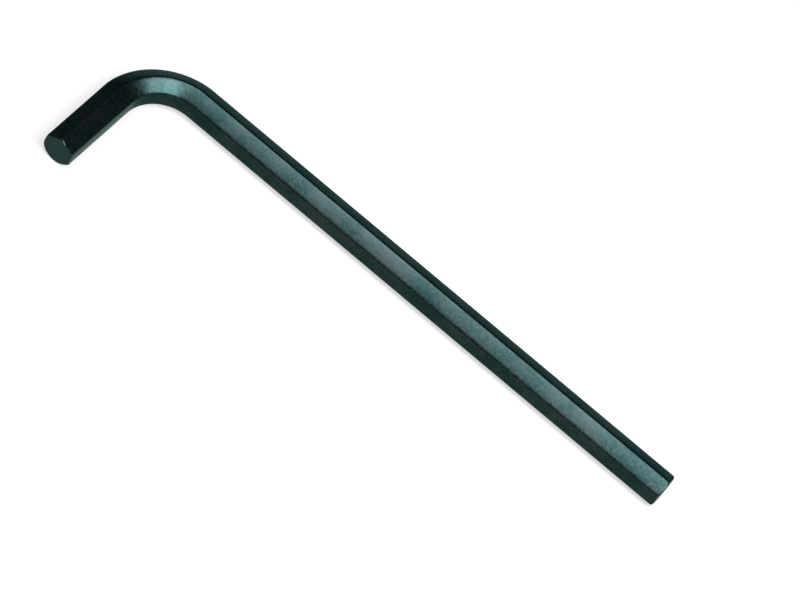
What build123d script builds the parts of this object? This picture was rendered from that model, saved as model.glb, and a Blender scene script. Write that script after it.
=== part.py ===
from build123d import *
import math
import os

# A long-arm hex key: one length of hexagonal bar with a single square bend. All sizes are in millimetres.
ACROSS_FLATS = 14.0
LONG_ARM = 289.5  # end face of the long arm to the outside of the short arm
SHORT_ARM = 73.0  # end face of the short arm to the outside of the long arm
BEND_RADIUS = 25.5  # of the bar's centreline
CORNER_RADIUS = 1.2  # the six long edges, as drawn
END_FACE_DIAMETER = 14.2  # where the chamfer meets the end face: wider than the flats, so only corners go
CHAMFER_ANGLE = 45.0  # between the chamfer's cone and the bar's axis

# The frame: the origin is the centre of the long arm's end face, +X leaves that end along the bar, the short
# arm points along -Y, and +Z is up with the key lying flat. The bar's corners are at the top and the bottom,
# and two of its flats are on the inside and the outside of the bend.
CORNER_X = ACROSS_FLATS / 2 - LONG_ARM  # where the two centrelines would meet
SHORT_END_Y = ACROSS_FLATS / 2 - SHORT_ARM
CORNERS_UPRIGHT = 30.0  # turns the hexagon from a corner at the side to a corner at the top


def hexagon():
    apothem = ACROSS_FLATS / 2
    outline = RegularPolygon(radius=apothem, side_count=6, major_radius=False, rotation=CORNERS_UPRIGHT)
    return fillet(outline.vertices(), CORNER_RADIUS)


def bar():
    centreline = FilletPolyline((0, 0), (CORNER_X, 0), (CORNER_X, SHORT_END_Y), radius=BEND_RADIUS)
    section_plane = Plane(origin=(0, 0, 0), x_dir=(0, 1, 0), z_dir=(-1, 0, 0))
    return sweep(section_plane * hexagon(), path=centreline)


def end_chamfer():
    """The ring that the chamfer takes off a bar that ends at z = 0 and points along +Z."""
    depth = ACROSS_FLATS / 2
    face_radius = END_FACE_DIAMETER / 2
    spread = depth * math.tan(math.radians(CHAMFER_ANGLE))
    around_the_bar = Align.CENTER, Align.CENTER, Align.MAX
    ring = Cylinder(ACROSS_FLATS, depth, align=around_the_bar)
    return ring - Cone(face_radius + spread, face_radius, depth, align=around_the_bar)


def hex_key():
    long_end = Plane(origin=(0, 0, 0), z_dir=(1, 0, 0))
    short_end = Plane(origin=(CORNER_X, SHORT_END_Y, 0), z_dir=(0, -1, 0))
    return bar() - long_end * end_chamfer() - short_end * end_chamfer()


os.makedirs("parts", exist_ok=True)
key = hex_key()
export_step(key.solids()[0], "parts/hex_key.step")
print("hex_key volume", round(key.volume), "solids", len(key.solids()))
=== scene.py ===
import math

import bpy
from mathutils import Matrix, Vector


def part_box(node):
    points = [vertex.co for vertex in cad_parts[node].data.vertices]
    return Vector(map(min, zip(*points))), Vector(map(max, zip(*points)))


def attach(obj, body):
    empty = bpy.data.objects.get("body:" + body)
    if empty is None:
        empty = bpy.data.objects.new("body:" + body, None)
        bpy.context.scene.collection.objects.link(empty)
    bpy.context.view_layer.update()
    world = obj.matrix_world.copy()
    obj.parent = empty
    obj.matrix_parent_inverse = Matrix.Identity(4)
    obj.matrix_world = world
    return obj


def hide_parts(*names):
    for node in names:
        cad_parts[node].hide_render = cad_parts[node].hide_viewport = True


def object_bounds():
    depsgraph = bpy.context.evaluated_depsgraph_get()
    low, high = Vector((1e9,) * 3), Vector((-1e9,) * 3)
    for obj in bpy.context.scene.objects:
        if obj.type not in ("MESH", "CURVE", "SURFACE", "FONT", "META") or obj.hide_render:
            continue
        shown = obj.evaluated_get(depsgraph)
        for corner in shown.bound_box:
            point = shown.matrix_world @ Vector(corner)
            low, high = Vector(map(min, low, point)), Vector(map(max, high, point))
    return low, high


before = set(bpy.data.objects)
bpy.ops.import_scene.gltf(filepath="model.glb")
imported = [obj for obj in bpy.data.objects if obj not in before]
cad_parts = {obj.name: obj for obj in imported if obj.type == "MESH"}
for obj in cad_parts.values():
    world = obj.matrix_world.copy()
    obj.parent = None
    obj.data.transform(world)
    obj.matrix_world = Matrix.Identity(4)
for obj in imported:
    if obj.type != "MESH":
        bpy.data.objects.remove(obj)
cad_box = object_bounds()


# The steel is a medium-carbon alloy bar, drawn to its hexagon, hardened, then blackened in a hot oxidising bath.
# The oxide is a thin, nearly black skin with a green-blue cast. It gives the eye a dark half-gloss: almost no colour
# of its own, a broad soft highlight, and fine lengthwise draw marks that break that highlight up.
def add_node(tree, kind, settings=None, inputs=None):
    """Adds one node, sets its settings, and links or fills the inputs given by name or number."""
    node = tree.nodes.new(kind)
    for name, value in (settings or {}).items():
        setattr(node, name, value)
    for name, value in (inputs or {}).items():
        if isinstance(value, bpy.types.NodeSocket):
            tree.links.new(value, node.inputs[name])
        else:
            node.inputs[name].default_value = value
    return node


def linear(hex_colour):
    """An sRGB colour written as #rrggbb, as linear red, green, blue and alpha."""
    channels = [int(hex_colour[i : i + 2], 16) / 255 for i in (1, 3, 5)]
    return [c / 12.92 if c <= 0.04045 else ((c + 0.055) / 1.055) ** 2.4 for c in channels] + [1.0]


MM = 0.001

black_oxide = bpy.data.materials.new("black_oxide_steel")
black_oxide.use_nodes = True
steel = black_oxide.node_tree
steel.nodes.clear()
spot = add_node(steel, "ShaderNodeTexCoord").outputs["Object"]

# the bath leaves broad stains, and a mottle about as wide as the scale that the bar was pickled from
STAIN_WIDTH = 16 * MM
MOTTLE_WIDTH = 1.5 * MM
stain = add_node(
    steel,
    "ShaderNodeTexNoise",
    inputs={"Vector": spot, "Scale": 1 / STAIN_WIDTH, "Detail": 3.0, "Roughness": 0.55},
).outputs["Fac"]
mottle = add_node(
    steel,
    "ShaderNodeTexNoise",
    inputs={"Vector": spot, "Scale": 1 / MOTTLE_WIDTH, "Detail": 4.0, "Roughness": 0.65},
).outputs["Fac"]
mixed = add_node(
    steel, "ShaderNodeMix", {"data_type": "FLOAT"}, {"Factor": 0.6, "A": stain, "B": mottle}
).outputs["Result"]
skin = add_node(steel, "ShaderNodeValToRGB", inputs={"Fac": mixed})
skin.color_ramp.elements[0].position = 0.40
skin.color_ramp.elements[0].color = linear("#172728")
skin.color_ramp.elements[1].position = 0.60
skin.color_ramp.elements[1].color = linear("#273434")

# where the bath was tired the skin stays thin, and goes from green-blue to a faint rusty grey
thin_places = add_node(
    steel,
    "ShaderNodeMapRange",
    inputs={"Value": stain, "From Min": 0.48, "From Max": 0.68, "To Min": 0.0, "To Max": 0.4},
).outputs["Result"]
stained_skin = add_node(
    steel,
    "ShaderNodeMix",
    {"data_type": "RGBA"},
    {"Factor": thin_places, "A": skin.outputs["Color"], "B": linear("#2c3032")},
).outputs["Result"]

# draw marks run the length of the bar; real ones are a few hundredths of a millimetre wide, these show
MARK_WIDTH = 0.4 * MM
MARK_LENGTH = 10 * MM
along_bar = add_node(steel, "ShaderNodeAttribute", {"attribute_name": "along"}).outputs["Fac"]
round_bar = add_node(steel, "ShaderNodeAttribute", {"attribute_name": "around"}).outputs["Fac"]
mark_place = add_node(steel, "ShaderNodeCombineXYZ", inputs={"X": along_bar, "Y": round_bar}).outputs["Vector"]
mark_place = add_node(
    steel,
    "ShaderNodeVectorMath",
    {"operation": "MULTIPLY"},
    {0: mark_place, 1: (1 / MARK_LENGTH, 1 / MARK_WIDTH, 0.0)},
).outputs["Vector"]
marks = add_node(
    steel, "ShaderNodeTexNoise", inputs={"Vector": mark_place, "Scale": 1.0, "Detail": 2.0, "Roughness": 0.5}
).outputs["Fac"]

# the long edges and the turned ends: handling rubs the oxide thin on the one, and the other took it over tool marks
edge = add_node(steel, "ShaderNodeAttribute", {"attribute_name": "cornerness"}).outputs["Fac"]
turned = add_node(steel, "ShaderNodeAttribute", {"attribute_name": "turned"}).outputs["Fac"]
rubbed = add_node(
    steel,
    "ShaderNodeMapRange",
    inputs={"Value": edge, "From Min": 0.70, "From Max": 0.95, "To Min": 0.0, "To Max": 0.5},
).outputs["Result"]
rubbed = add_node(steel, "ShaderNodeMath", {"operation": "MULTIPLY"}, {0: rubbed, 1: mottle}).outputs[0]
worn_skin = add_node(
    steel,
    "ShaderNodeMix",
    {"data_type": "RGBA"},
    {"Factor": rubbed, "A": stained_skin, "B": linear("#4d6160")},
).outputs["Result"]
cut_skin = add_node(
    steel,
    "ShaderNodeMix",
    {"data_type": "RGBA"},
    {"Factor": 0.65, "A": stained_skin, "B": linear("#2c3e3b")},
).outputs["Result"]
whole_skin = add_node(
    steel,
    "ShaderNodeMix",
    {"data_type": "RGBA"},
    {"Factor": turned, "A": worn_skin, "B": cut_skin},
).outputs["Result"]
gloss = add_node(
    steel,
    "ShaderNodeMapRange",
    inputs={"Value": mottle, "From Min": 0.3, "From Max": 0.7, "To Min": 0.23, "To Max": 0.31},
).outputs["Result"]
gloss = add_node(steel, "ShaderNodeMix", {"data_type": "FLOAT"}, {"Factor": turned, "A": gloss, "B": 0.45}).outputs[
    "Result"
]
mark_bump = add_node(
    steel, "ShaderNodeBump", inputs={"Height": marks, "Strength": 0.25, "Distance": 0.023 * MM}
).outputs["Normal"]
mottle_bump = add_node(
    steel,
    "ShaderNodeBump",
    inputs={"Height": mottle, "Strength": 0.25, "Distance": 0.07 * MM, "Normal": mark_bump},
).outputs["Normal"]
oxide = add_node(
    steel,
    "ShaderNodeBsdfPrincipled",
    inputs={
        "Base Color": whole_skin,
        "Metallic": 1.0,
        "Roughness": gloss,
        "Normal": mottle_bump,
        "Specular Tint": linear("#bccaca"),
    },
)
add_node(steel, "ShaderNodeOutputMaterial", inputs={"Surface": oxide.outputs["BSDF"]})


# The key: one length of hexagonal bar, sawn off, its two ends turned to a chamfer, and bent once round a former
# while hot. The bend stretches the outside, which pulls in and flattens, and squeezes the inside, which spreads.
key_low, key_high = (Vector(corner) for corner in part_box("hex_key"))
ACROSS_FLATS = 14 * MM
BEND_RADIUS = 25.5 * MM
long_end = Vector((key_high.x, 0, 0))
corner = Vector((key_low.x + ACROSS_FLATS / 2, 0, 0))
short_end = Vector((corner.x, key_low.y, 0))

centreline = bpy.data.curves.new("hex_key_centreline", "CURVE")
centreline.dimensions = "3D"
run = centreline.splines.new("POLY")
run.points.add(2)
for point, place in zip(run.points, (long_end, corner, short_end)):
    point.co = (*place, 1.0)
blank = bpy.data.objects.new("hex_key_blank", centreline)
bpy.context.scene.collection.objects.link(blank)

forge = bpy.data.node_groups.new("hex_key_forge", "GeometryNodeTree")
forge.interface.new_socket("Geometry", in_out="INPUT", socket_type="NodeSocketGeometry")
KEY_SIZES = {
    "Across Flats": ACROSS_FLATS,
    "Bend Radius": BEND_RADIUS,
    "Corner Radius": 1.2 * MM,
    "Crown": 0.09 * MM,
    "Outside Flattening": 2.6 * MM,
    "End Face Radius": 7.1 * MM,
    "Chamfer Slope": math.tan(math.radians(45)),
    "End Spacing": 0.14 * MM,
}
sizes = {}
for name, value in KEY_SIZES.items():
    sizes[name] = forge.interface.new_socket(name, in_out="INPUT", socket_type="NodeSocketFloat")
forge.interface.new_socket("Geometry", in_out="OUTPUT", socket_type="NodeSocketGeometry")
given = add_node(forge, "NodeGroupInput").outputs

# the bent centreline, and stations along it that crowd together at the two ends for the chamfers
bent = add_node(
    forge,
    "GeometryNodeFilletCurve",
    {"mode": "POLY"},
    {"Curve": given["Geometry"], "Count": 64, "Radius": given["Bend Radius"]},
).outputs["Curve"]
run_length = add_node(forge, "GeometryNodeCurveLength", inputs={"Curve": bent}).outputs["Length"]
STATIONS = 300
END_STATIONS = 14
index = add_node(forge, "GeometryNodeInputIndex").outputs["Index"]
in_first = add_node(forge, "ShaderNodeMath", {"operation": "MINIMUM"}, {0: index, 1: END_STATIONS}).outputs[0]
past_last = add_node(forge, "ShaderNodeMath", {"operation": "SUBTRACT"}, {0: index, 1: STATIONS - END_STATIONS})
in_last = add_node(forge, "ShaderNodeMath", {"operation": "MAXIMUM"}, {0: past_last.outputs[0], 1: 0.0}).outputs[0]
in_ends = add_node(forge, "ShaderNodeMath", {"operation": "ADD"}, {0: in_first, 1: in_last}).outputs[0]
in_middle = add_node(forge, "ShaderNodeMath", {"operation": "SUBTRACT"}, {0: index, 1: in_ends}).outputs[0]
middle_length = add_node(
    forge,
    "ShaderNodeMath",
    {"operation": "MULTIPLY_ADD"},
    {0: given["End Spacing"], 1: -2.0 * END_STATIONS, 2: run_length},
).outputs[0]
middle_spacing = add_node(
    forge, "ShaderNodeMath", {"operation": "DIVIDE"}, {0: middle_length, 1: STATIONS - 2.0 * END_STATIONS}
).outputs[0]
middle_part = add_node(forge, "ShaderNodeMath", {"operation": "MULTIPLY"}, {0: in_middle, 1: middle_spacing}).outputs[0]
along = add_node(
    forge,
    "ShaderNodeMath",
    {"operation": "MULTIPLY_ADD"},
    {0: in_ends, 1: given["End Spacing"], 2: middle_part},
).outputs[0]
straight = add_node(forge, "GeometryNodeCurvePrimitiveLine").outputs["Curve"]
stations = add_node(
    forge, "GeometryNodeResampleCurve", {"mode": "COUNT"}, {"Curve": straight, "Count": STATIONS + 1}
).outputs["Curve"]
on_path = add_node(
    forge, "GeometryNodeSampleCurve", {"mode": "LENGTH", "use_all_curves": True}, {"Curves": bent, "Length": along}
)
outward = add_node(
    forge,
    "ShaderNodeVectorMath",
    {"operation": "CROSS_PRODUCT"},
    {0: on_path.outputs["Tangent"], 1: (0.0, 0.0, 1.0)},
).outputs["Vector"]
turning = add_node(
    forge,
    "ShaderNodeVectorMath",
    {"operation": "DOT_PRODUCT"},
    {0: on_path.outputs["Tangent"], 1: (-1.0, -1.0, 0.0)},
).outputs["Value"]
in_bend = add_node(forge, "ShaderNodeMath", {"operation": "SUBTRACT"}, {0: turning, 1: 1.0}).outputs[0]
path = stations
for name, kind, value in (
    ("along", "FLOAT", along),
    ("in_bend", "FLOAT", in_bend),
    ("centre", "FLOAT_VECTOR", on_path.outputs["Position"]),
    ("outward", "FLOAT_VECTOR", outward),
):
    path = add_node(
        forge,
        "GeometryNodeStoreNamedAttribute",
        {"data_type": kind, "domain": "POINT"},
        {"Geometry": path, "Name": name, "Value": value},
    ).outputs["Geometry"]
path = add_node(
    forge, "GeometryNodeSetPosition", inputs={"Geometry": path, "Position": on_path.outputs["Position"]}
).outputs["Geometry"]
path = add_node(forge, "GeometryNodeSetCurveNormal", {"mode": "Z_UP"}, {"Curve": path}).outputs["Curve"]

# the hexagon: corners at the top and the bottom, rounded by the drawing die, with flats that swell a little
HALF_ANGLE = math.pi / 6
apothem = add_node(forge, "ShaderNodeMath", {"operation": "MULTIPLY"}, {0: given["Across Flats"], 1: 0.5}).outputs[0]
to_corner = add_node(
    forge, "ShaderNodeMath", {"operation": "DIVIDE"}, {0: apothem, 1: math.cos(HALF_ANGLE)}
).outputs[0]
sharp_hexagon = add_node(
    forge, "GeometryNodeCurvePrimitiveCircle", {"mode": "RADIUS"}, {"Resolution": 6, "Radius": to_corner}
).outputs["Curve"]
upright = add_node(
    forge,
    "GeometryNodeTransform",
    inputs={"Geometry": sharp_hexagon, "Rotation": (0.0, 0.0, math.pi / 2)},
).outputs["Geometry"]
rounded = add_node(
    forge,
    "GeometryNodeFilletCurve",
    {"mode": "POLY"},
    {"Curve": upright, "Count": 5, "Radius": given["Corner Radius"]},
).outputs["Curve"]
divided = add_node(forge, "GeometryNodeSubdivideCurve", inputs={"Curve": rounded, "Cuts": 6}).outputs["Curve"]
here = add_node(forge, "GeometryNodeInputPosition").outputs["Position"]
reach = add_node(forge, "ShaderNodeVectorMath", {"operation": "LENGTH"}, {0: here}).outputs["Value"]
cornerness = add_node(
    forge,
    "ShaderNodeMapRange",
    inputs={"Value": reach, "From Min": apothem, "From Max": to_corner, "To Min": 0.0, "To Max": 1.0},
).outputs["Result"]
drop = add_node(forge, "ShaderNodeMath", {"operation": "MULTIPLY"}, {0: cornerness, 1: given["Crown"]}).outputs[0]
kept = add_node(forge, "ShaderNodeMath", {"operation": "SUBTRACT"}, {0: reach, 1: drop}).outputs[0]
shrink = add_node(forge, "ShaderNodeMath", {"operation": "DIVIDE"}, {0: kept, 1: reach}).outputs[0]
crowned = add_node(
    forge, "ShaderNodeVectorMath", {"operation": "SCALE"}, {0: here, "Scale": shrink}
).outputs["Vector"]
section = add_node(
    forge,
    "GeometryNodeStoreNamedAttribute",
    {"data_type": "FLOAT", "domain": "POINT"},
    {"Geometry": divided, "Name": "cornerness", "Value": cornerness},
).outputs["Geometry"]
round_the_section = add_node(forge, "GeometryNodeSplineParameter").outputs["Length"]
section = add_node(
    forge,
    "GeometryNodeStoreNamedAttribute",
    {"data_type": "FLOAT", "domain": "POINT"},
    {"Geometry": section, "Name": "around", "Value": round_the_section},
).outputs["Geometry"]
section = add_node(forge, "GeometryNodeSetPosition", inputs={"Geometry": section, "Position": crowned}).outputs[
    "Geometry"
]
bar = add_node(
    forge, "GeometryNodeCurveToMesh", inputs={"Curve": path, "Profile Curve": section, "Fill Caps": True}
).outputs["Mesh"]

# the bend: the outside wall pulls in towards the centreline, and the rest follows it in proportion
centre = add_node(
    forge, "GeometryNodeInputNamedAttribute", {"data_type": "FLOAT_VECTOR"}, {"Name": "centre"}
).outputs["Attribute"]
away = add_node(
    forge, "GeometryNodeInputNamedAttribute", {"data_type": "FLOAT_VECTOR"}, {"Name": "outward"}
).outputs["Attribute"]
bent_by = add_node(forge, "GeometryNodeInputNamedAttribute", {"data_type": "FLOAT"}, {"Name": "in_bend"}).outputs[
    "Attribute"
]
out_to_here = add_node(forge, "ShaderNodeVectorMath", {"operation": "SUBTRACT"}, {0: here, 1: centre}).outputs["Vector"]
outside = add_node(
    forge, "ShaderNodeVectorMath", {"operation": "DOT_PRODUCT"}, {0: out_to_here, 1: away}
).outputs["Value"]
outside_share = add_node(
    forge, "ShaderNodeMath", {"operation": "DIVIDE"}, {0: outside, 1: given["Across Flats"]}
).outputs[0]
outside_share = add_node(forge, "ShaderNodeMath", {"operation": "ADD"}, {0: outside_share, 1: 0.5}).outputs[0]
slack = add_node(
    forge, "ShaderNodeMath", {"operation": "MULTIPLY"}, {0: bent_by, 1: given["Outside Flattening"]}
).outputs[0]
inward_by = add_node(forge, "ShaderNodeMath", {"operation": "MULTIPLY"}, {0: outside_share, 1: slack}).outputs[0]
inward_by = add_node(forge, "ShaderNodeMath", {"operation": "MULTIPLY"}, {0: inward_by, 1: -1.0}).outputs[0]
inward = add_node(forge, "ShaderNodeVectorMath", {"operation": "SCALE"}, {0: away, "Scale": inward_by}).outputs[
    "Vector"
]
bar = add_node(forge, "GeometryNodeSetPosition", inputs={"Geometry": bar, "Offset": inward}).outputs["Geometry"]

# the chamfers: no point stands further from the centreline than the turned cone lets it
from_long_end = add_node(forge, "GeometryNodeInputNamedAttribute", {"data_type": "FLOAT"}, {"Name": "along"}).outputs[
    "Attribute"
]
from_short_end = add_node(
    forge, "ShaderNodeMath", {"operation": "SUBTRACT"}, {0: run_length, 1: from_long_end}
).outputs[0]
from_end = add_node(
    forge, "ShaderNodeMath", {"operation": "MINIMUM"}, {0: from_long_end, 1: from_short_end}
).outputs[0]
cone = add_node(
    forge,
    "ShaderNodeMath",
    {"operation": "MULTIPLY_ADD"},
    {0: from_end, 1: given["Chamfer Slope"], 2: given["End Face Radius"]},
).outputs[0]
distance = add_node(forge, "ShaderNodeVectorMath", {"operation": "LENGTH"}, {0: out_to_here}).outputs["Value"]
allowed = add_node(forge, "ShaderNodeMath", {"operation": "DIVIDE"}, {0: cone, 1: distance}).outputs[0]
pull = add_node(forge, "ShaderNodeMath", {"operation": "MINIMUM"}, {0: allowed, 1: 1.0}).outputs[0]
turned_place = add_node(
    forge, "ShaderNodeVectorMath", {"operation": "SCALE"}, {0: out_to_here, "Scale": pull}
).outputs["Vector"]
turned_place = add_node(forge, "ShaderNodeVectorMath", {"operation": "ADD"}, {0: turned_place, 1: centre}).outputs[
    "Vector"
]
touched = add_node(forge, "ShaderNodeMath", {"operation": "LESS_THAN"}, {0: allowed, 1: 1.0}).outputs[0]
at_end = add_node(forge, "ShaderNodeMath", {"operation": "LESS_THAN"}, {0: from_end, 1: 0.02 * MM}).outputs[0]
touched = add_node(forge, "ShaderNodeMath", {"operation": "MAXIMUM"}, {0: touched, 1: at_end}).outputs[0]
bar = add_node(
    forge,
    "GeometryNodeStoreNamedAttribute",
    {"data_type": "FLOAT", "domain": "POINT"},
    {"Geometry": bar, "Name": "turned", "Value": touched},
).outputs["Geometry"]
bar = add_node(forge, "GeometryNodeSetPosition", inputs={"Geometry": bar, "Position": turned_place}).outputs[
    "Geometry"
]
bar = add_node(forge, "GeometryNodeRealizeInstances", inputs={"Geometry": bar}).outputs["Geometry"]
bar = add_node(forge, "GeometryNodeSetMaterial", inputs={"Geometry": bar, "Material": black_oxide}).outputs["Geometry"]
add_node(forge, "NodeGroupOutput", inputs={"Geometry": bar})

bending = blank.modifiers.new("forge", "NODES")
bending.node_group = forge
for name, value in KEY_SIZES.items():
    bending[sizes[name].identifier] = value
made = blank.evaluated_get(bpy.context.evaluated_depsgraph_get())
key_mesh = bpy.data.meshes.new_from_object(made)
blank.modifiers.remove(bending)
bpy.data.objects.remove(blank)
key_mesh.shade_smooth()
key_mesh.set_sharp_from_angle(angle=math.radians(28))
key = bpy.data.objects.new("hex_key_bar", key_mesh)
bpy.context.scene.collection.objects.link(key)
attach(key, "root")
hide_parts("hex_key")


# The table top: a plain white laminate, large enough to fill the view.
floor_mesh = bpy.data.meshes.new("floor")
HALF_FLOOR = 2.0
FLOOR_GLOW = 0.62
floor_z = cad_box[0][2]
floor_corners = [(x * HALF_FLOOR, y * HALF_FLOOR, floor_z) for x, y in ((-1, -1), (1, -1), (1, 1), (-1, 1))]
floor_mesh.from_pydata(floor_corners, [], [(0, 1, 2, 3)])
floor = bpy.data.objects.new("floor", floor_mesh)
bpy.context.scene.collection.objects.link(floor)
laminate = bpy.data.materials.new("white_laminate")
laminate.use_nodes = True
white = laminate.node_tree
white.nodes.clear()
seen = add_node(white, "ShaderNodeLightPath").outputs
seen_or_mirrored = add_node(
    white, "ShaderNodeMath", {"operation": "MAXIMUM"}, {0: seen["Is Camera Ray"], 1: seen["Is Glossy Ray"]}
).outputs[0]
seen_at_all = add_node(
    white, "ShaderNodeMath", {"operation": "MAXIMUM"}, {0: seen_or_mirrored, 1: seen["Is Transmission Ray"]}
).outputs[0]
share = add_node(white, "ShaderNodeMath", {"operation": "MULTIPLY"}, {0: seen_at_all, 1: FLOOR_GLOW}).outputs[0]
lit = add_node(white, "ShaderNodeBsdfDiffuse", inputs={"Color": linear("#888888")}).outputs["BSDF"]
glow = add_node(
    white, "ShaderNodeEmission", inputs={"Color": (1.0, 1.0, 1.0, 1.0), "Strength": share}
).outputs["Emission"]
both = add_node(white, "ShaderNodeAddShader", inputs={0: lit, 1: glow}).outputs["Shader"]
add_node(white, "ShaderNodeOutputMaterial", inputs={"Surface": both})
floor_mesh.materials.append(laminate)


# The light: an even dim studio all round, and two soft lamps, one over the bend and one over the long arm.
studio = bpy.data.worlds.new("studio")
bpy.context.scene.world = studio
studio.use_nodes = True
studio.node_tree.nodes["Background"].inputs["Color"].default_value = (1.0, 1.0, 1.0, 1.0)
studio.node_tree.nodes["Background"].inputs["Strength"].default_value = 0.2
key_middle = (key_low + key_high) / 2
LAMP_DISTANCE = 1.4


def soft_lamp(name, towards, lengthwise, length, width, radiance):
    """A soft lamp seen towards one direction from the key, with the radiance that its diffuser shows."""
    lamp_data = bpy.data.lights.new(name, "AREA")
    lamp_data.shape = "RECTANGLE"
    lamp_data.size = length
    lamp_data.size_y = width
    lamp_data.energy = radiance * math.pi * length * width
    lamp = bpy.data.objects.new(name, lamp_data)
    bpy.context.scene.collection.objects.link(lamp)
    back = Vector(towards).normalized()
    across = back.cross(Vector(lengthwise)).normalized()
    turn = Matrix((across.cross(back), across, back)).transposed().to_4x4()
    lamp.matrix_world = Matrix.Translation(key_middle + back * LAMP_DISTANCE) @ turn


soft_lamp("lamp_over_the_bend", (0.43, -0.19, 0.87), (0.67, 0.74, 0.0), 1.07, 0.42, 17.5)
soft_lamp("lamp_over_the_long_arm", (-0.06, -0.235, 0.95), (1.0, 0.0, 0.0), 1.17, 0.47, 10.0)

# The camera looks down on the key from beside its short arm, a little past the middle, and is rolled over.
camera_data = bpy.data.cameras.new("camera")
camera_data.sensor_width = 36.0
camera_data.lens = 180.0
camera_data.clip_end = 20.0
camera = bpy.data.objects.new("camera", camera_data)
bpy.context.scene.collection.objects.link(camera)
CAMERA_DISTANCE = 1.6803
aim = Vector((-0.13583, -0.01159, 0.0))
elevation = math.radians(53.53)
azimuth = math.radians(-12.21)
roll = math.radians(30.11)
flat = math.cos(elevation)
forward = Vector((math.sin(azimuth) * flat, math.cos(azimuth) * flat, -math.sin(elevation)))
level = forward.cross(Vector((0, 0, 1))).normalized()
above = level.cross(forward)
right = level * math.cos(roll) + above * math.sin(roll)
top = right.cross(forward)
turn = Matrix((right, top, -forward)).transposed().to_4x4()
camera.matrix_world = Matrix.Translation(aim - forward * CAMERA_DISTANCE) @ turn
bpy.context.scene.camera = camera
bpy.context.scene.view_settings.view_transform = "Standard"
